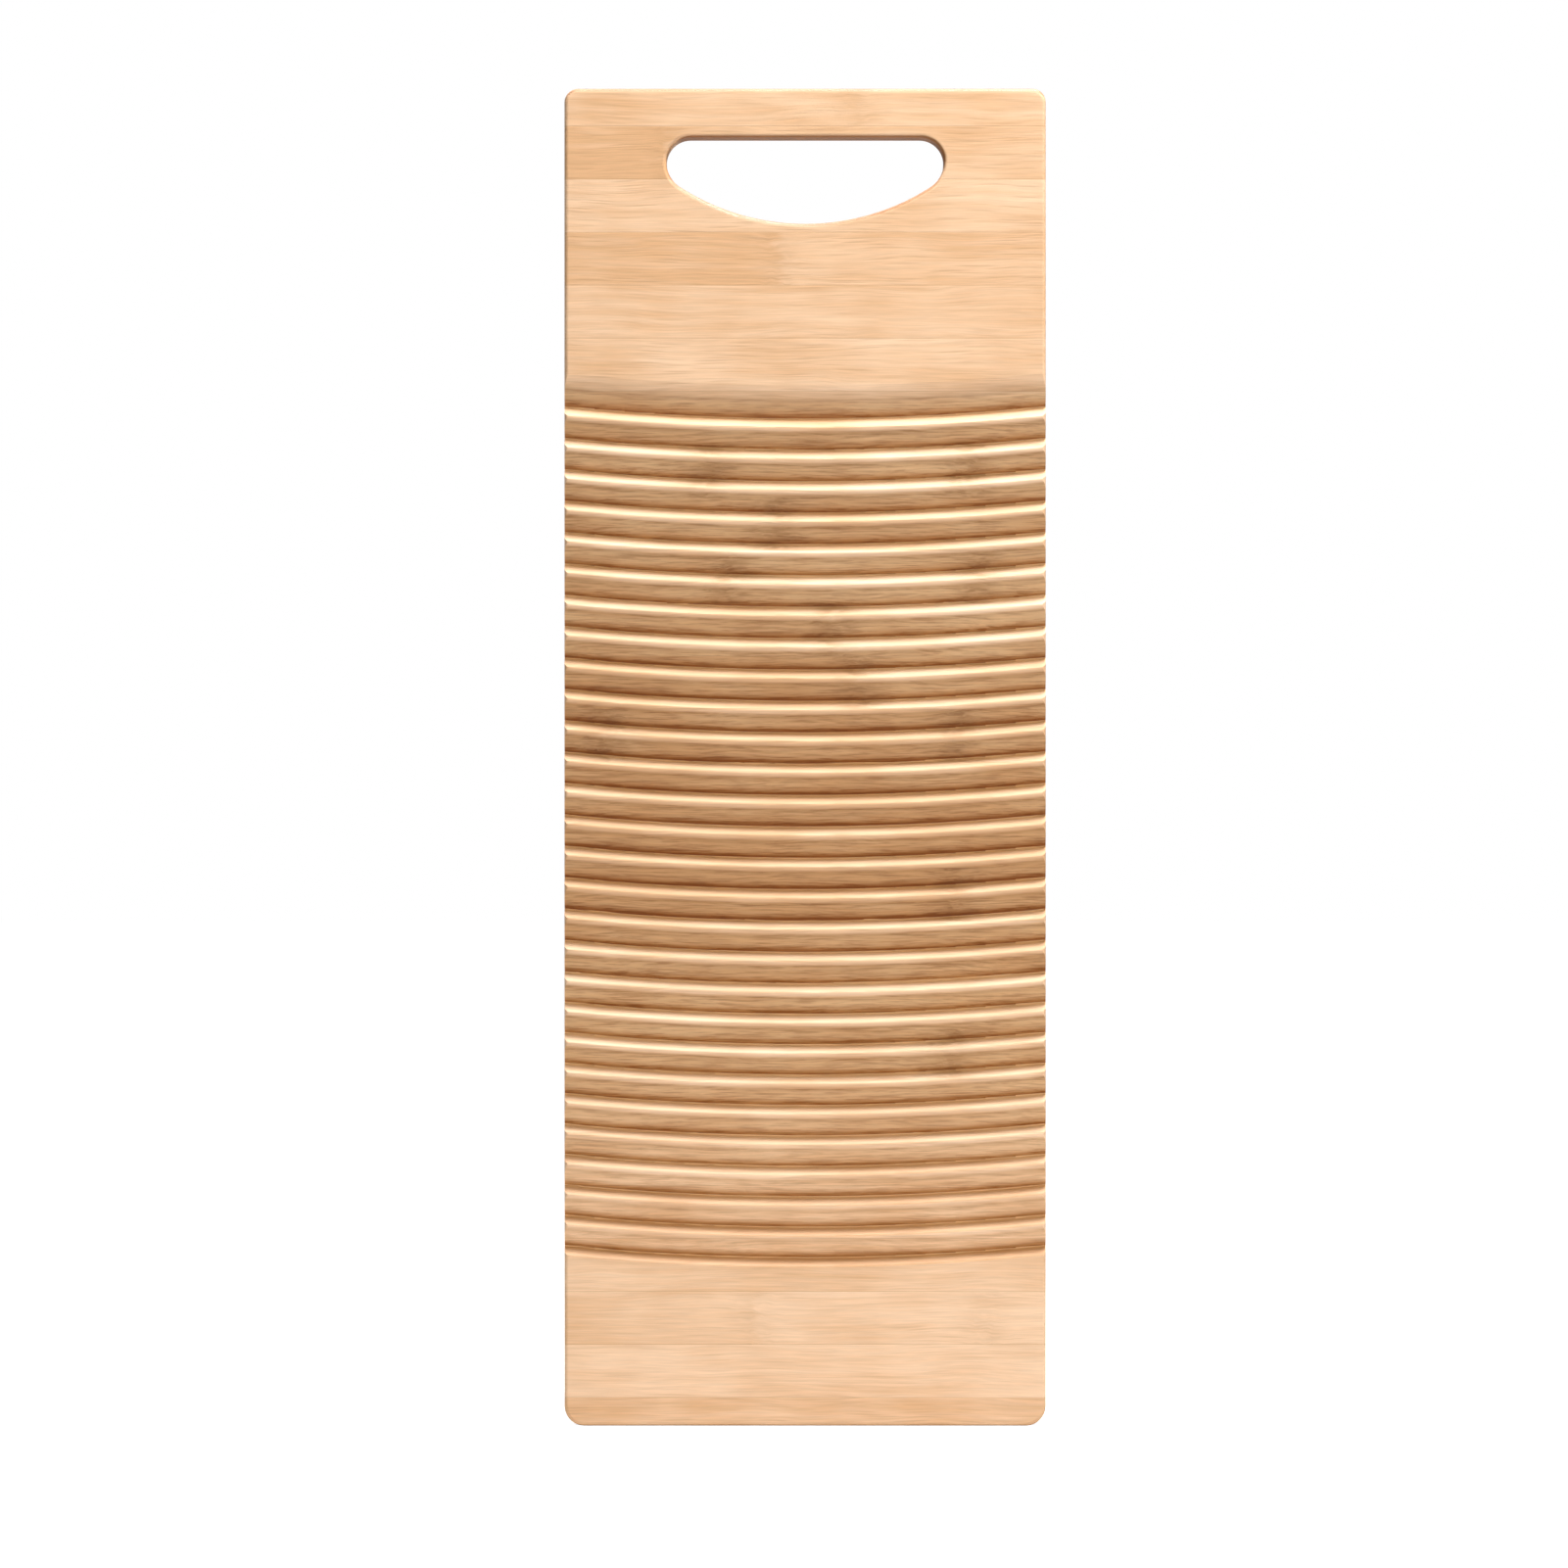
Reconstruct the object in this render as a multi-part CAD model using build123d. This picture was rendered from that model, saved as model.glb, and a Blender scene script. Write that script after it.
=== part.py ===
from build123d import *
import math
import os

# A washboard of laminated bamboo strips, in millimetres.
# X is its width, Y its thickness and Z its length, upwards. The ridged front faces -Y.
# The origin is at the middle of the bottom edge.

# The board
WIDTH = 180.0
LENGTH = 500.0
THICKNESS = 18.0
FRONT = -THICKNESS / 2
TOP_CORNER = 5.0
BOTTOM_CORNER = 7.5
EDGE_ROUND = 1.5

# The three plies. Front and back strips lie across the board, core strips along it.
PLY = THICKNESS / 3
FRONT_STRIP = 19.8
FRONT_FIRST_STRIP = 10.6
CORE_STRIP = 20.0
BACK_STRIP = 20.0

# The hand hole: a flat top, quarter-round upper corners and a bowed lower edge
HOLE_TOP = 481.7
HOLE_HALF_WIDTH = 51.9
HOLE_HEIGHT = 32.2
HOLE_CORNER = 9.0
HOLE_BOTTOM_ARC = 86.5

# The grooves between the ridges, at the middle of the width, from the top one down.
# Each falls away gently from its upper lip, steepens near its valley and climbs a short flank to its
# lower lip. The upper grooves are spaced a little wider than the lower ones. The top one leads in softly:
# its slope rounds over from the face, where the others have a crisp crest.
FIRST_VALLEY = 376.6
FIRST_SLOPE_RUN = 10.8
FIRST_LEAD_IN = 3.5
FIRST_CREST_ROUND = 25.0
UPPER_PITCH = 11.74
UPPER_COUNT = 18
LOWER_PITCH = 11.39
LOWER_COUNT = 9
GROOVE_DEPTH = 3.6
FLANK_RUN = 3.1
STEEP_RUN = 2.0
STEEP_ANGLE = 38.0
CREST_LAND = 1.0
CREST_ROUND = 1.2
KNEE_ROUND = 8.0
VALLEY_ROUND = 0.6
RIDGE_ARC = 900.0

# How far a cutter reaches past what it cuts, and how far its lips rise off the face over that reach
CLEARANCE = 1.0
LIP_RISE = 0.05


def hole_outline():
    """The hand hole's face, on the front plane, from four kinds of tangent arc."""
    drop = HOLE_HEIGHT - HOLE_CORNER
    chord_term = HOLE_HALF_WIDTH**2 + drop**2 - 2 * HOLE_BOTTOM_ARC * drop
    side_arc = chord_term / (2 * (HOLE_HALF_WIDTH - HOLE_BOTTOM_ARC))
    sine = (HOLE_HALF_WIDTH - side_arc) / (HOLE_BOTTOM_ARC - side_arc)
    bottom_sweep = math.degrees(math.asin(sine))
    top = Line((0, HOLE_TOP), (HOLE_HALF_WIDTH - HOLE_CORNER, HOLE_TOP))
    corner = JernArc(top @ 1, top % 1, HOLE_CORNER, -90)
    side = JernArc(corner @ 1, corner % 1, side_arc, bottom_sweep - 90)
    bottom = JernArc(side @ 1, side % 1, HOLE_BOTTOM_ARC, -bottom_sweep)
    half = Curve() + [top, corner, side, bottom]
    return make_face(half + mirror(half, Plane.YZ))


def board_blank():
    """The whole board before its ridges are carved: outline, hand hole and rounded edges."""
    outline = Rectangle(WIDTH, LENGTH, align=(Align.CENTER, Align.MIN))
    corners = outline.vertices().sort_by(Axis.Y)
    outline = fillet(corners[:2], BOTTOM_CORNER)
    top_corners = outline.vertices().sort_by(Axis.Y)[-2:]
    outline = fillet(top_corners, TOP_CORNER)
    face = Plane.XZ.offset(-FRONT) * (outline - hole_outline())
    blank = extrude(face, -THICKNESS)
    rims = blank.edges().filter_by_position(Axis.Y, FRONT, FRONT)
    rims += blank.edges().filter_by_position(Axis.Y, -FRONT, -FRONT)
    return fillet(rims, EDGE_ROUND)


def groove_section(slope_run, lead_in, crest_round):
    """A groove's cross-section, as depth and height from the top of its slope.

    The lead-in is how far its upper lip reaches up the face."""
    knee = (GROOVE_DEPTH - STEEP_RUN * math.tan(math.radians(STEEP_ANGLE)), STEEP_RUN - slope_run)
    bottom = (GROOVE_DEPTH, -slope_run)
    foot = (0, -slope_run - FLANK_RUN)
    above = (-LIP_RISE, lead_in)
    below = (-LIP_RISE, foot[1] - CLEARANCE)
    rounds = (crest_round, KNEE_ROUND, VALLEY_ROUND, CREST_ROUND)
    profile = FilletPolyline(above, (0, 0), knee, bottom, foot, below, radius=rounds)
    closing = Polyline(below, (-CLEARANCE, below[1]), (-CLEARANCE, lead_in), above)
    return make_face([profile, closing])


def groove_cutter(valley_z, slope_run, lead_in=CLEARANCE, crest_round=CREST_ROUND):
    """The solid that carves one groove: its section swept on an arc that sags at mid-width."""
    plane = Plane(origin=(0, FRONT, valley_z + slope_run), x_dir=(0, 1, 0), z_dir=(1, 0, 0))
    axis = Axis((0, 0, valley_z + RIDGE_ARC), (0, 1, 0))
    half_sweep = math.degrees(math.asin((WIDTH / 2 + CLEARANCE) / (RIDGE_ARC - slope_run - CLEARANCE)))
    section = groove_section(slope_run, lead_in, crest_round)
    swept = revolve(plane * section, axis, 2 * half_sweep)
    return swept.rotate(axis, -half_sweep)


def grooves():
    """Every groove's cutter, from the top one down."""
    valley = FIRST_VALLEY
    cutters = [groove_cutter(valley, FIRST_SLOPE_RUN, FIRST_LEAD_IN, FIRST_CREST_ROUND)]
    for pitch, count in ((UPPER_PITCH, UPPER_COUNT), (LOWER_PITCH, LOWER_COUNT)):
        highest = groove_cutter(valley - pitch, pitch - FLANK_RUN - CREST_LAND)
        cutters += [Pos(0, 0, -pitch * step) * highest for step in range(count)]
        valley -= pitch * count
    return cutters


def across(bottom, height, ply_y):
    """A strip's box across the board."""
    return Pos(0, ply_y, bottom + height / 2) * Box(WIDTH, PLY, height)


def along(left, width, ply_y):
    """A strip's box along the board."""
    return Pos(left + width / 2, ply_y, LENGTH / 2) * Box(width, PLY, LENGTH)


def carved(strip, cutters):
    """The strip with each groove that reaches it cut out."""
    box = strip.bounding_box()
    for cutter in cutters:
        reach = cutter.bounding_box()
        if reach.min.Z < box.max.Z and reach.max.Z > box.min.Z:
            strip = strip - cutter
    return strip


def front_strips(blank):
    """The front ply's strips, from the bottom up, with the ridges carved in them."""
    cutters = grooves()
    count = math.ceil((LENGTH - FRONT_FIRST_STRIP) / FRONT_STRIP)
    seams = [0] + [FRONT_FIRST_STRIP + FRONT_STRIP * step for step in range(count)] + [LENGTH]
    return [
        carved(blank & across(low, high - low, -PLY), cutters)
        for low, high in zip(seams, seams[1:])
    ]


def core_strips(blank):
    """The core ply's strips, from left to right."""
    count = round(WIDTH / CORE_STRIP)
    return [blank & along(-WIDTH / 2 + CORE_STRIP * step, CORE_STRIP, 0) for step in range(count)]


def back_strips(blank):
    """The back ply's strips, from the bottom up."""
    count = round(LENGTH / BACK_STRIP)
    return [blank & across(BACK_STRIP * step, BACK_STRIP, PLY) for step in range(count)]


def write(strips, name, digits):
    """One STEP file for each strip, numbered from 1."""
    for number, strip in enumerate(strips, start=1):
        export_step(Compound(children=strip.solids()), f"parts/{name}_{number:0{digits}d}.step")


os.makedirs("parts", exist_ok=True)
board = board_blank()
write(front_strips(board), "front_strip", 2)
write(core_strips(board), "core_strip", 1)
write(back_strips(board), "back_strip", 2)
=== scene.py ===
import math
import random

import bpy
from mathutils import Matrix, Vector

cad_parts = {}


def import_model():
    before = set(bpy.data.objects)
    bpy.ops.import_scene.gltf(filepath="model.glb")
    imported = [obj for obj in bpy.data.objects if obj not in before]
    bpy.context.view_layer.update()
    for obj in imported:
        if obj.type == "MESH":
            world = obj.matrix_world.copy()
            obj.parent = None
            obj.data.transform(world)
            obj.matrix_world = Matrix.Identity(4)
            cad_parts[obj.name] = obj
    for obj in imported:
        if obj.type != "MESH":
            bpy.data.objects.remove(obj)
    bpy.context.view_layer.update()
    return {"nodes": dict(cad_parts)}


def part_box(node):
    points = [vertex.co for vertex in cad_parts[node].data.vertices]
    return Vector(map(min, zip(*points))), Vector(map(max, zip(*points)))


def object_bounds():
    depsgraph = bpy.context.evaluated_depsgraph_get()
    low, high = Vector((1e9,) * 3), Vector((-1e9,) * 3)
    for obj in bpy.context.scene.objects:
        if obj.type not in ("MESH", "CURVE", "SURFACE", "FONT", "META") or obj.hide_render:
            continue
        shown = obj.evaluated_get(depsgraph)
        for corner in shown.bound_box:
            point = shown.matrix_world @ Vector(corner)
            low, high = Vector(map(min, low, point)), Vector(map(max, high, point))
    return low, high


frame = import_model()

MM = 0.001
LOW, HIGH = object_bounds()
CENTRE = (LOW + HIGH) / 2
SIZE = HIGH - LOW
HALF_DEPTH = SIZE.y / 2

# From the CAD model, in mm: the ridged stretch, its first valley, and the hand hole's box
RIDGES_BOTTOM = 56.0
RIDGES_TOP = 396.0
FIRST_VALLEY = 376.6
HOLE_BOTTOM = 447.0
HOLE_TOP = 484.0
HOLE_HALF_WIDTH = 54.0

# Linear colours of the bamboo
PALE = (0.88, 0.60, 0.385)
WARM = (0.72, 0.42, 0.215)
FIBRE = (0.46, 0.23, 0.10)
GLUE = (0.42, 0.22, 0.09)

# The patterns in the wood: how long, high and thick their streaks are, in mm
BUNDLES = (24.0, 0.95, 0.95)
FIBRES = (17.0, 0.60, 0.45)
STREAKS = (60.0, 2.8, 1.6)
BLOTCHES = (6.0, 2.2, 2.2)
MOTTLE = (13.0, 0.8, 0.7)

# How far the fibres stray from straight, in mm: along a strip, and more at a joint
DRIFT = 5.5
SWIRL = 2.8

# The culm's joints: their colour as factors, their half-width and how far their edge strays, in mm
JOINT_TINT = (0.46, 0.33, 0.13)
JOINT_WIDTH = 8.0
JOINT_STRAY = 22.0

# How much of the joints' tint shows: on a plain face, and 1 mm or more below the carved one
JOINT_ON_FACE = 0.13
JOINT_IN_GROOVE = 0.54

# Painted shade on the ridges, as factors: on the slopes that face down, in their darkest bands, and a warm
# one in the bottom of the grooves
SLOPE_PAINTED_SHADE = (0.81, 0.73, 0.56)
HOLLOW_PAINTED_SHADE = (0.38, 0.22, 0.05)
VALLEY_PAINTED_SHADE = (1.0, 0.86, 0.60)

# Painted light makes the ridges' slopes paler, and painted shade makes their flanks browner, below the
# first height, and no more so past the second, in mm
LOW_RIDGES = 60.0
FULL_RIDGES = 150.0

# Bands of painted shade on the slopes, by depth below the face in mm: a faint one under the crest, a dark
# one that sets in between two depths, and two thin dark lines on the top slope
CREST_BAND = 0.45
HOLLOW_START = 1.2
HOLLOW_FULL = 3.5
TOP_SLOPE_LINES = (0.35, 0.95)

# Painted shade on surfaces that face up, against the strong light from above: on the flanks of the lowest
# ridges, and on the edges above the ridges
LOW_FLANK_PAINTED_SHADE = (0.78, 0.68, 0.55)
UPPER_EDGE_PAINTED_SHADE = (0.60, 0.50, 0.46)

# Painted shade on the top and right wall of the hole, which face away from the light
HOLE_WALL_PAINTED_SHADE = (0.40, 0.27, 0.15)

# The floor's own grey, its glow to the camera, and how strong the world's light is
FLOOR_GREY = 0.6
FLOOR_GLOW = 0.91
WORLD_LIGHT = 0.151

# The camera: the picture's height against the board's, and its place left of and below the board's middle
PICTURE_TO_BOARD = 1.1724
CAMERA_LEFT = 7.9
CAMERA_DOWN = 10.0

# How often a back or core strip shows a joint, and a place off the board for one that isn't there, in mm
JOINT_CHANCE = 0.55
NOWHERE = 400.0

# Where the culm's joints show on the front strips: strip number to places from the middle, in mm
FRONT_JOINTS = {
    26: (20.7,),
    25: (-52.0,),
    23: (-9.9,),
    19: (-36.0, 61.0),
    18: (-10.3,),
    17: (-28.6, 64.6),
    16: (9.5,),
    15: (19.9,),
    14: (-74.0, 57.0),
    11: (57.0,),
    8: (55.0,),
    3: (-18.0, 68.0),
}

# How much warmer a front strip is past its first joint, where the next length of culm begins
FRONT_CHANGES = {
    26: -0.15,
    25: -0.50,
    23: -0.35,
    19: -0.10,
    18: 0.10,
    16: -0.35,
    15: -0.35,
    14: -0.25,
    11: -0.20,
    3: -0.30,
}

# How warm the front strips are, where 0 is pale and 1 is warm
FRONT_TONES = {
    26: 0.55,
    25: 1.10,
    24: 0.35,
    23: 0.95,
    22: 0.52,
    21: 0.45,
    20: 0.45,
    19: 0.40,
    18: 0.50,
    17: 0.45,
    16: 0.60,
    15: 0.85,
    14: 1.00,
    13: 0.85,
    12: 0.90,
    11: 1.05,
    10: 0.60,
    9: 0.45,
    8: 0.40,
    7: 0.50,
    6: 0.35,
    5: 0.45,
    4: 0.55,
    3: 0.58,
    2: 0.30,
    1: 0.75,
}


class Graph:
    """A material being built. Each method adds one node and returns its output socket."""

    def __init__(self, name):
        self.material = bpy.data.materials.new(name)
        self.material.use_nodes = True
        self.tree = self.material.node_tree
        self.shader = self.tree.nodes["Principled BSDF"]

    def add(self, kind, *inputs, **settings):
        """A node with its first inputs fed by sockets or set to values."""
        node = self.tree.nodes.new(kind)
        for key, value in settings.items():
            setattr(node, key, value)
        for position, value in enumerate(inputs):
            self.feed(node.inputs[position], value)
        return node

    def feed(self, socket, value):
        """Links a socket to socket, or sets a plain value on it."""
        if isinstance(value, bpy.types.NodeSocket):
            self.tree.links.new(value, socket)
        elif value is not None:
            socket.default_value = value

    def math(self, operation, *values):
        return self.add("ShaderNodeMath", *values, operation=operation).outputs[0]

    def plus(self, first, second):
        return self.math("ADD", first, second)

    def minus(self, first, second):
        return self.math("SUBTRACT", first, second)

    def times(self, first, second):
        return self.math("MULTIPLY", first, second)

    def vector(self, x, y, z):
        return self.add("ShaderNodeCombineXYZ", x, y, z).outputs[0]

    def object_value(self, name):
        """A number that each object carries as a custom property."""
        node = self.add("ShaderNodeAttribute", attribute_type="OBJECT", attribute_name=name)
        return node.outputs["Fac"]

    def noise(self, place, detail=2.0, roughness=0.5):
        node = self.add("ShaderNodeTexNoise", noise_dimensions="3D")
        self.feed(node.inputs["Vector"], place)
        self.feed(node.inputs["Scale"], 1.0)
        self.feed(node.inputs["Detail"], detail)
        self.feed(node.inputs["Roughness"], roughness)
        return node.outputs["Fac"]

    def cells(self, place):
        """The distance to the nearest of many scattered points, one unit apart."""
        node = self.add("ShaderNodeTexVoronoi", voronoi_dimensions="3D", feature="F1")
        self.feed(node.inputs["Vector"], place)
        self.feed(node.inputs["Scale"], 1.0)
        return node.outputs["Distance"]

    def step(self, value, start, end, low=0.0, high=1.0):
        """low up to start, high past end, and a smooth rise or fall between them."""
        node = self.add("ShaderNodeMapRange", interpolation_type="SMOOTHSTEP")
        for name, number in (
            ("Value", value),
            ("From Min", start),
            ("From Max", end),
            ("To Min", low),
            ("To Max", high),
        ):
            self.feed(node.inputs[name], number)
        return node.outputs["Result"]

    def within(self, value, low, high):
        """1 between low and high, falling to 0 over the last unit at either end."""
        return self.times(self.step(value, low, low + 1), self.step(value, high, high - 1))

    def hump(self, value, centre, width):
        """1 at centre, falling smoothly to nothing about two widths away."""
        offset = self.math("DIVIDE", self.minus(value, centre), width)
        return self.math("POWER", math.e, self.times(self.times(offset, offset), -1.0))

    def blend(self, share, first, second):
        """Two colours mixed by share."""
        node = self.add("ShaderNodeMix", data_type="RGBA")
        self.feed(node.inputs[0], share)
        self.feed(node.inputs[6], first if isinstance(first, bpy.types.NodeSocket) else (*first, 1.0))
        self.feed(node.inputs[7], second if isinstance(second, bpy.types.NodeSocket) else (*second, 1.0))
        return node.outputs[2]

    def tinted(self, share, colour, tint):
        """A colour multiplied by a tint, as far as share says."""
        node = self.add("ShaderNodeMix", data_type="RGBA", blend_type="MULTIPLY")
        self.feed(node.inputs[0], share)
        self.feed(node.inputs[6], colour)
        self.feed(node.inputs[7], (*tint, 1.0))
        return node.outputs[2]

    def scaled(self, colour, factor):
        """A colour or vector times a number."""
        node = self.add("ShaderNodeVectorMath", operation="SCALE")
        self.feed(node.inputs[0], colour)
        self.feed(node.inputs["Scale"], factor)
        return node.outputs[0]


def bamboo(name, lengthwise, carved):
    """Bamboo whose fibres run across the board, or along it, solid right through the strip."""
    g = Graph(name)
    place = g.add("ShaderNodeTexCoord").outputs["Object"]
    split = g.add("ShaderNodeSeparateXYZ", g.scaled(place, 1 / MM)).outputs
    along, across = (split[2], split[0]) if lengthwise else (split[0], split[2])
    depth = split[1]
    shift = g.object_value("grain_shift")
    tone = g.object_value("tone")
    low_edge = g.object_value("low_edge")
    high_edge = g.object_value("high_edge")
    outer = g.object_value("outer_side")

    # The culm's joints: a darker, ragged band across the strip, where the fibres swirl
    ragged = g.minus(g.noise(g.vector(shift, g.times(across, 0.22), g.times(depth, 0.5)), 3.0, 0.6), 0.5)
    along_joint = g.plus(along, g.times(ragged, JOINT_STRAY))
    first_joint = g.object_value("first_joint")
    second_joint = g.object_value("second_joint")
    joint = g.plus(
        g.hump(along_joint, first_joint, JOINT_WIDTH), g.hump(along_joint, second_joint, JOINT_WIDTH)
    )
    past_joint = g.step(g.minus(along_joint, first_joint), -2.0, 2.0)

    # Fibres wander slowly along the strip, and more at a joint
    drift_place = g.vector(
        g.plus(g.times(along, 0.018), shift), g.times(across, 0.05), g.times(depth, 0.12)
    )
    drift = g.minus(g.noise(drift_place, 1.0), 0.5)
    swirl_place = g.vector(g.plus(g.times(along, 0.16), shift), g.times(across, 0.22), depth)
    swirl = g.times(g.minus(g.noise(swirl_place, 1.0), 0.5), joint)
    moved = g.plus(g.times(drift, DRIFT), g.times(swirl, SWIRL))
    across_moved = g.plus(across, moved)
    depth_moved = g.plus(depth, g.times(moved, 0.35))

    def grain(length, height, thickness):
        """A place in a pattern of streaks of that length, height and thickness."""
        return g.vector(
            g.plus(g.times(along, 1 / length), shift),
            g.times(across_moved, 1 / height),
            g.times(depth_moved, 1 / thickness),
        )

    # Fibre bundles: dark threads along the grain and dots on a cut end, closer towards the culm's skin
    skin = g.step(g.times(depth, outer), -3.0, 3.0, 0.55, 1.0)
    bundle = g.times(g.step(g.cells(grain(*BUNDLES)), 0.42, 0.16), skin)
    fibre = g.noise(grain(*FIBRES), 3.0, 0.6)
    streak = g.noise(grain(*STREAKS), 2.0, 0.55)
    cloud = g.noise(g.vector(g.times(along, 1 / 38), g.times(across, 1 / 20), shift))
    blotch = g.step(g.noise(grain(*BLOTCHES), 3.0), 0.34, 0.58, 0.40, 1.0)

    # The strip's tone varies in streaks and clouds, and changes past its first joint
    warmth = g.plus(tone, g.times(g.minus(streak, 0.5), 1.2))
    warmth = g.plus(warmth, g.times(g.minus(cloud, 0.5), 1.4))
    warmth = g.plus(warmth, g.times(past_joint, g.object_value("change")))
    colour = g.blend(warmth, PALE, WARM)
    colour = g.blend(g.times(bundle, 0.22), colour, FIBRE)
    colour = g.scaled(colour, g.step(fibre, 0.22, 0.78, 0.90, 1.07))

    # The seam between two strips: a hair line of glue
    to_edge = g.math("MINIMUM", g.minus(across, low_edge), g.minus(high_edge, across))
    seam = g.step(to_edge, 0.30, 0.04)
    colour = g.blend(g.times(seam, 0.25), colour, GLUE)

    normal = g.add("ShaderNodeSeparateXYZ", g.add("ShaderNodeNewGeometry").outputs["Normal"]).outputs
    # Painted shade on the hole's top and right wall
    colour = hole_wall_painted_shade(g, colour, split, normal)
    # Painted shade on edges that face up, against the strong light from above
    colour = upward_painted_shade(g, colour, split[2], normal)
    if carved:
        mottle = g.noise(grain(*MOTTLE), 3.0, 0.6)
        # Painted shade on the ridges' slopes and in the bottom of the grooves
        colour = groove_painted_shade(g, colour, split, normal, mottle, tone)
        below_face = g.plus(split[1], HALF_DEPTH / MM)
        joint_share = g.step(below_face, 0.0, 1.0, JOINT_ON_FACE, JOINT_IN_GROOVE)
    else:
        joint_share = JOINT_ON_FACE
    colour = g.tinted(g.times(g.times(joint, blotch), joint_share), colour, JOINT_TINT)
    g.feed(g.shader.inputs["Base Color"], colour)

    rough = g.plus(g.step(fibre, 0.2, 0.8, 0.40, 0.54), g.times(bundle, 0.10))
    g.feed(g.shader.inputs["Roughness"], rough)
    height = g.minus(g.times(fibre, 0.6), g.times(bundle, 0.5))
    height = g.minus(height, g.times(seam, 0.9))
    bump = g.add("ShaderNodeBump")
    g.feed(bump.inputs["Strength"], 1.0)
    g.feed(bump.inputs["Distance"], 0.04 * MM)
    g.feed(bump.inputs["Height"], height)
    g.feed(g.shader.inputs["Normal"], bump.outputs[0])
    g.shader.inputs["IOR"].default_value = 1.46
    return g.material


def groove_painted_shade(g, colour, split, normal, mottle, tone):
    """Painted shade on the ridges: browner slopes that face down, darkest in a band below the crest and
    near the valley, and warmer in the groove bottoms.
    """
    height = split[2]
    below_face = g.plus(split[1], HALF_DEPTH / MM)
    ridged = g.within(height, RIDGES_BOTTOM, RIDGES_TOP)
    low = g.step(height, FULL_RIDGES, LOW_RIDGES)
    faces_down = g.times(g.step(normal[2], -0.06, -0.26), ridged)
    waver = g.noise(g.vector(g.times(split[0], 0.03), g.times(height, 0.09), 0.0), 3.0)
    layer = g.plus(below_face, g.times(g.minus(waver, 0.5), 1.0))

    # The painted shade sets in softly under a crest, and slower still on the top slope
    fade = g.step(height, FIRST_VALLEY, FIRST_VALLEY + 2, 0.5, 1.6)
    sloping = g.times(faces_down, g.step(below_face, 0.05, fade))

    # How strong the painted shade on the slopes is: the two bands, a random mottle and the top slope's
    # lines
    upper = g.times(g.hump(layer, CREST_BAND, 0.35), 0.22)
    deep = g.step(layer, HOLLOW_START, HOLLOW_FULL)
    lower = g.times(deep, g.plus(g.times(tone, 0.5), 0.5))
    mottled = g.times(g.step(mottle, 0.43, 0.68, 0.0, 0.44), g.minus(1.0, g.times(low, 0.5)))
    on_top_slope = g.step(height, FIRST_VALLEY + 2, FIRST_VALLEY + 4, 0.0, 0.45)
    first_line, second_line = TOP_SLOPE_LINES
    lines = g.plus(g.hump(below_face, first_line, 0.09), g.hump(below_face, second_line, 0.14))
    dark = g.plus(g.plus(g.math("MAXIMUM", upper, lower), mottled), g.times(on_top_slope, lines))

    # Painted light: the lowest slopes get less painted shade and are made paler
    colour = g.tinted(g.times(sloping, g.minus(1.0, g.times(low, 0.75))), colour, SLOPE_PAINTED_SHADE)
    low_slopes_painted_light = g.times(g.times(sloping, low), g.minus(1.0, deep))
    colour = g.scaled(colour, g.plus(g.times(low_slopes_painted_light, 0.10), 1.0))
    colour = g.tinted(g.times(sloping, g.math("MINIMUM", dark, 1.0)), colour, HOLLOW_PAINTED_SHADE)
    # Warmer painted shade in the bottom of every groove, on both sides
    return g.tinted(g.times(ridged, g.step(below_face, 1.8, 3.4)), colour, VALLEY_PAINTED_SHADE)


def hole_wall_painted_shade(g, colour, split, normal):
    """Painted shade on the walls of the hand hole that face away from the light: the top one and the right
    one.
    """
    in_hole = g.times(
        g.within(split[2], HOLE_BOTTOM, HOLE_TOP), g.within(split[0], -HOLE_HALF_WIDTH, HOLE_HALF_WIDTH)
    )
    walls_in_shade = g.step(g.plus(normal[2], g.times(normal[0], 0.8)), -0.20, -0.70)
    return g.tinted(g.times(in_hole, walls_in_shade), colour, HOLE_WALL_PAINTED_SHADE)


def upward_painted_shade(g, colour, height, normal):
    """Painted shade on edges that face up, to tone down the strong light from above: the lowest flanks, the
    hole's lower rim and the board's top.
    """
    faces_up = g.step(normal[2], 0.10, 0.50)
    low_flanks = g.times(faces_up, g.step(height, FULL_RIDGES, LOW_RIDGES))
    colour = g.tinted(low_flanks, colour, LOW_FLANK_PAINTED_SHADE)
    above_ridges = g.times(faces_up, g.step(height, RIDGES_TOP - 1, RIDGES_TOP))
    return g.tinted(above_ridges, colour, UPPER_EDGE_PAINTED_SHADE)


def dress_strips(prefix, material, edge_axis, joints, tones, changes):
    """Gives each strip of a ply the material and the numbers that make it its own piece of bamboo."""
    for name in sorted(n for n in frame["nodes"] if n.startswith(prefix)):
        strip = frame["nodes"][name]
        number = int(name.rsplit("_", 1)[1])
        low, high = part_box(name)
        rng = random.Random(name)
        spare = (rng.uniform(-85, 85),) if rng.random() < JOINT_CHANCE else ()
        places = joints.get(number, ()) if joints else spare
        first, second = (*places, NOWHERE, NOWHERE)[:2]
        own_tone = rng.uniform(0.25, 0.65)
        own_change = rng.uniform(-0.2, 0.2)
        strip["grain_shift"] = rng.uniform(0, 60)
        strip["tone"] = tones.get(number, own_tone)
        strip["change"] = changes.get(number, own_change)
        strip["outer_side"] = rng.choice((-1.0, 1.0))
        strip["low_edge"] = low[edge_axis] / MM
        strip["high_edge"] = high[edge_axis] / MM
        strip["first_joint"] = first
        strip["second_joint"] = second
        strip.data.materials.clear()
        strip.data.materials.append(material)


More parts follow.
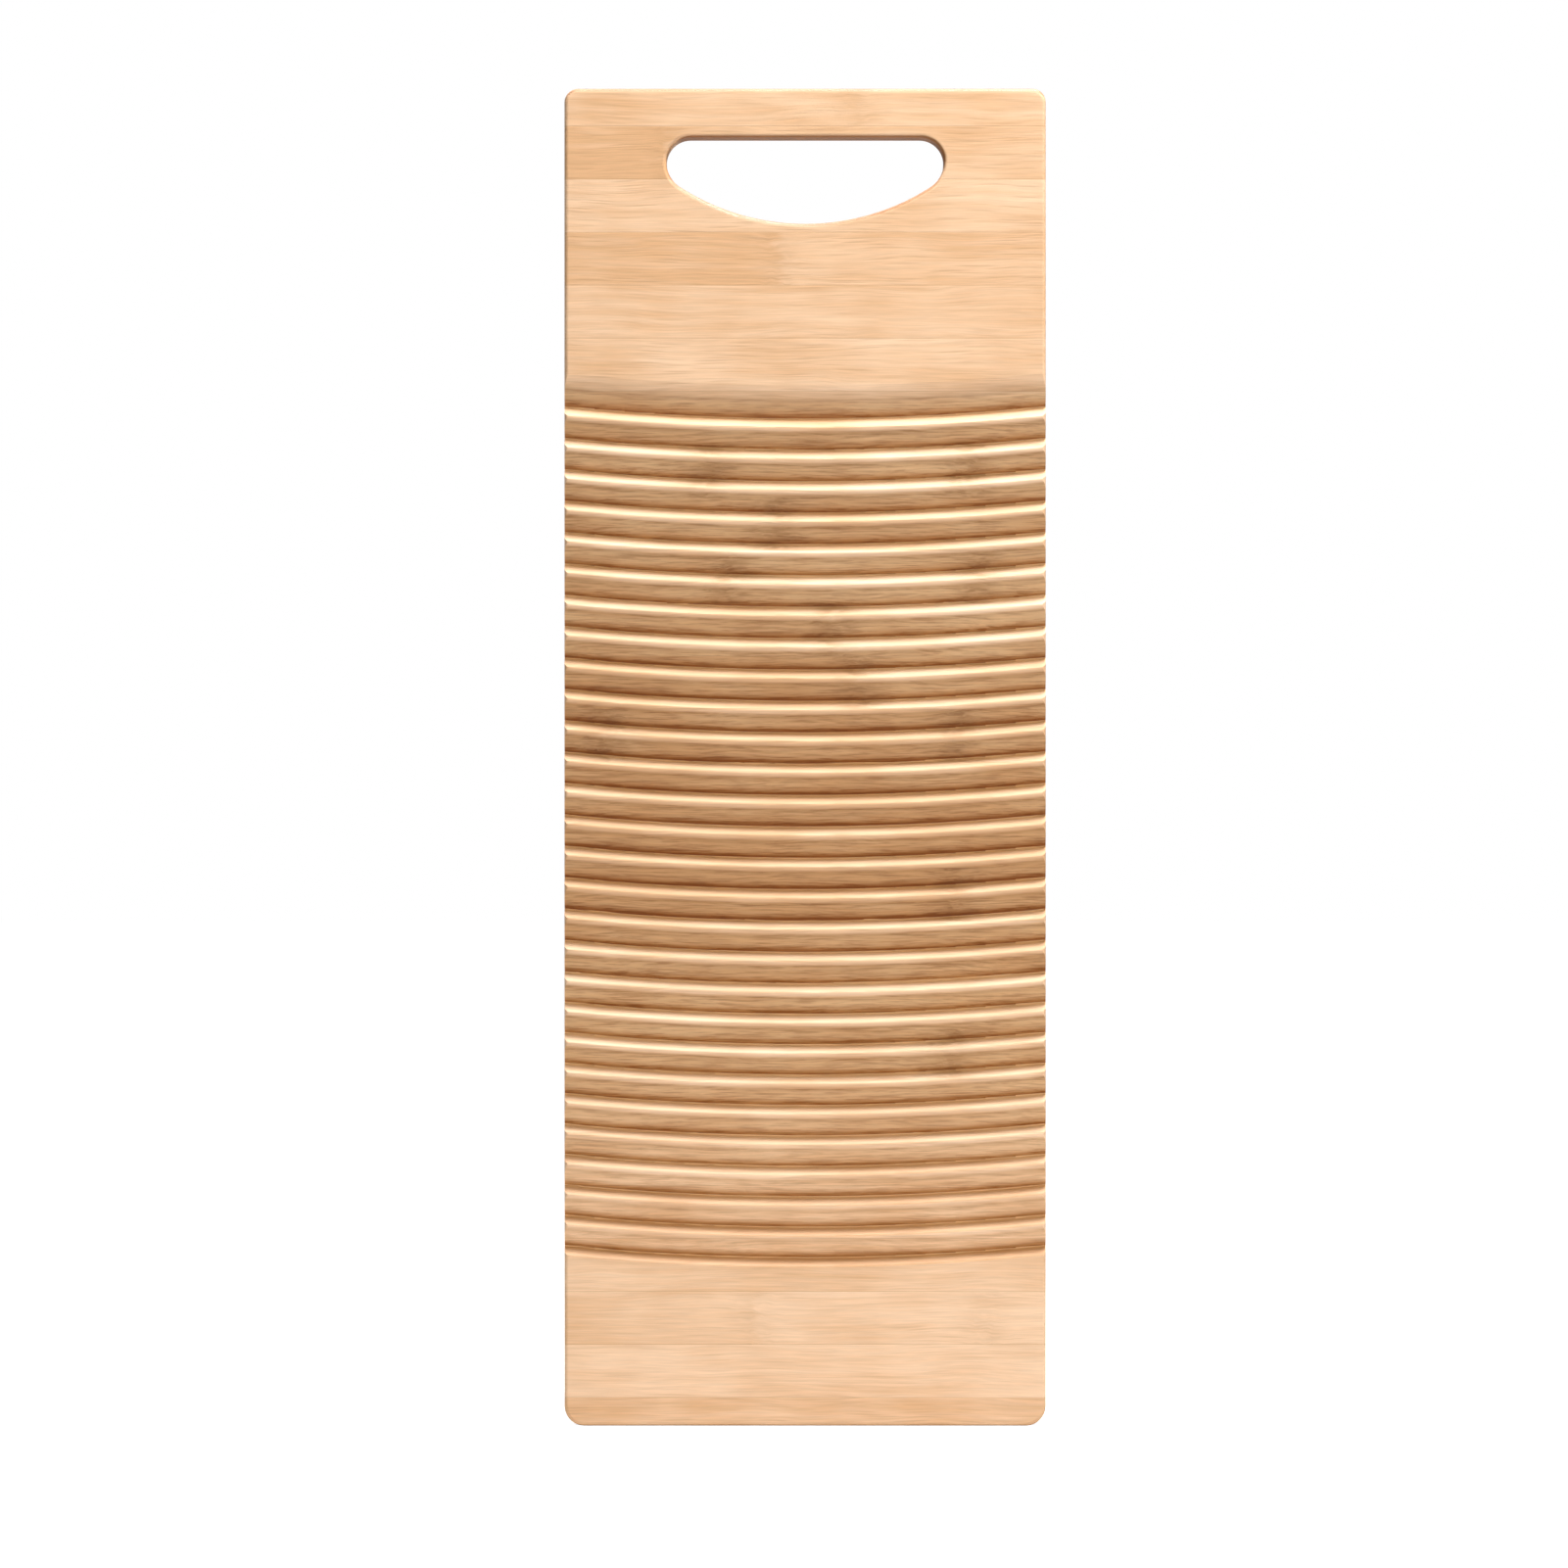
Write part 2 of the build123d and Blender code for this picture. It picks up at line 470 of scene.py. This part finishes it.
def floor():
    """A pale floor that the board stands on. It looks white, but throws back only a little light."""
    side = 12.0
    mesh = bpy.data.meshes.new("floor")
    corners = [(-side, -side), (side, -side), (side, side), (-side, side)]
    mesh.from_pydata([(x, y, LOW.z) for x, y in corners], [], [(0, 1, 2, 3)])
    g = Graph("floor_paint")
    g.shader.inputs["Base Color"].default_value = (FLOOR_GREY, FLOOR_GREY, FLOOR_GREY, 1)
    g.shader.inputs["Roughness"].default_value = 0.9
    g.shader.inputs["Emission Color"].default_value = (1, 1, 1, 1)
    seen = g.add("ShaderNodeLightPath").outputs["Is Camera Ray"]
    g.feed(g.shader.inputs["Emission Strength"], g.times(seen, FLOOR_GLOW))
    mesh.materials.append(g.material)
    piece = bpy.data.objects.new("floor", mesh)
    bpy.context.scene.collection.objects.link(piece)


def softbox(name, azimuth, elevation, distance, aim, size, power):
    """A square area light, facing a point of the middle line at height aim.

    Azimuth is in degrees from straight in front, towards +X, and elevation in degrees up."""
    light = bpy.data.lights.new(name, "AREA")
    light.shape = "SQUARE"
    light.size = size
    light.energy = power
    turn, climb = math.radians(azimuth), math.radians(elevation)
    outward = Vector((math.sin(turn) * math.cos(climb), -math.cos(turn) * math.cos(climb), math.sin(climb)))
    lamp = bpy.data.objects.new(name, light)
    lamp.location = Vector((CENTRE.x, CENTRE.y, aim)) + outward * distance
    lamp.rotation_euler = outward.to_track_quat("Z", "Y").to_euler()
    bpy.context.scene.collection.objects.link(lamp)


def world():
    """White all round, bright to the camera and dim as a light."""
    sky = bpy.data.worlds.new("studio")
    sky.use_nodes = True
    tree = sky.node_tree
    background = tree.nodes["Background"]
    background.inputs["Color"].default_value = (1, 1, 1, 1)
    path = tree.nodes.new("ShaderNodeLightPath")
    strength = tree.nodes.new("ShaderNodeMapRange")
    strength.inputs["To Min"].default_value = WORLD_LIGHT
    strength.inputs["To Max"].default_value = 1.0
    tree.links.new(path.outputs["Is Camera Ray"], strength.inputs["Value"])
    tree.links.new(strength.outputs["Result"], background.inputs["Strength"])
    bpy.context.scene.world = sky


def camera():
    """A long lens, level, facing the front, a little left of and below the board's middle."""
    lens, sensor = 200.0, 36.0
    distance = SIZE.z * PICTURE_TO_BOARD * lens / sensor
    data = bpy.data.cameras.new("camera")
    data.lens = lens
    data.sensor_width = sensor
    data.clip_end = 100.0
    cam = bpy.data.objects.new("camera", data)
    cam.location = (CENTRE.x - CAMERA_LEFT * MM, LOW.y - distance, CENTRE.z - CAMERA_DOWN * MM)
    cam.rotation_euler = (math.radians(90), 0, 0)
    bpy.context.scene.collection.objects.link(cam)
    bpy.context.scene.camera = cam


front_bamboo = bamboo("bamboo_carved", lengthwise=False, carved=True)
back_bamboo = bamboo("bamboo_across", lengthwise=False, carved=False)
core_bamboo = bamboo("bamboo_along", lengthwise=True, carved=False)
dress_strips("front_strip", front_bamboo, 2, FRONT_JOINTS, FRONT_TONES, FRONT_CHANGES)
dress_strips("back_strip", back_bamboo, 2, None, {}, {})
dress_strips("core_strip", core_bamboo, 0, None, {}, {})

floor()
world()
softbox("top", azimuth=50, elevation=74, distance=1.0, aim=0.40, size=0.4, power=26.0)
softbox("key", azimuth=45, elevation=35, distance=1.6, aim=0.30, size=0.5, power=5.4)
softbox("front", azimuth=15, elevation=4, distance=0.9, aim=0.06, size=0.4, power=2.45)
softbox("rear", azimuth=210, elevation=35, distance=1.9, aim=0.25, size=1.0, power=16.0)
camera()
bpy.context.scene.view_settings.view_transform = "Standard"
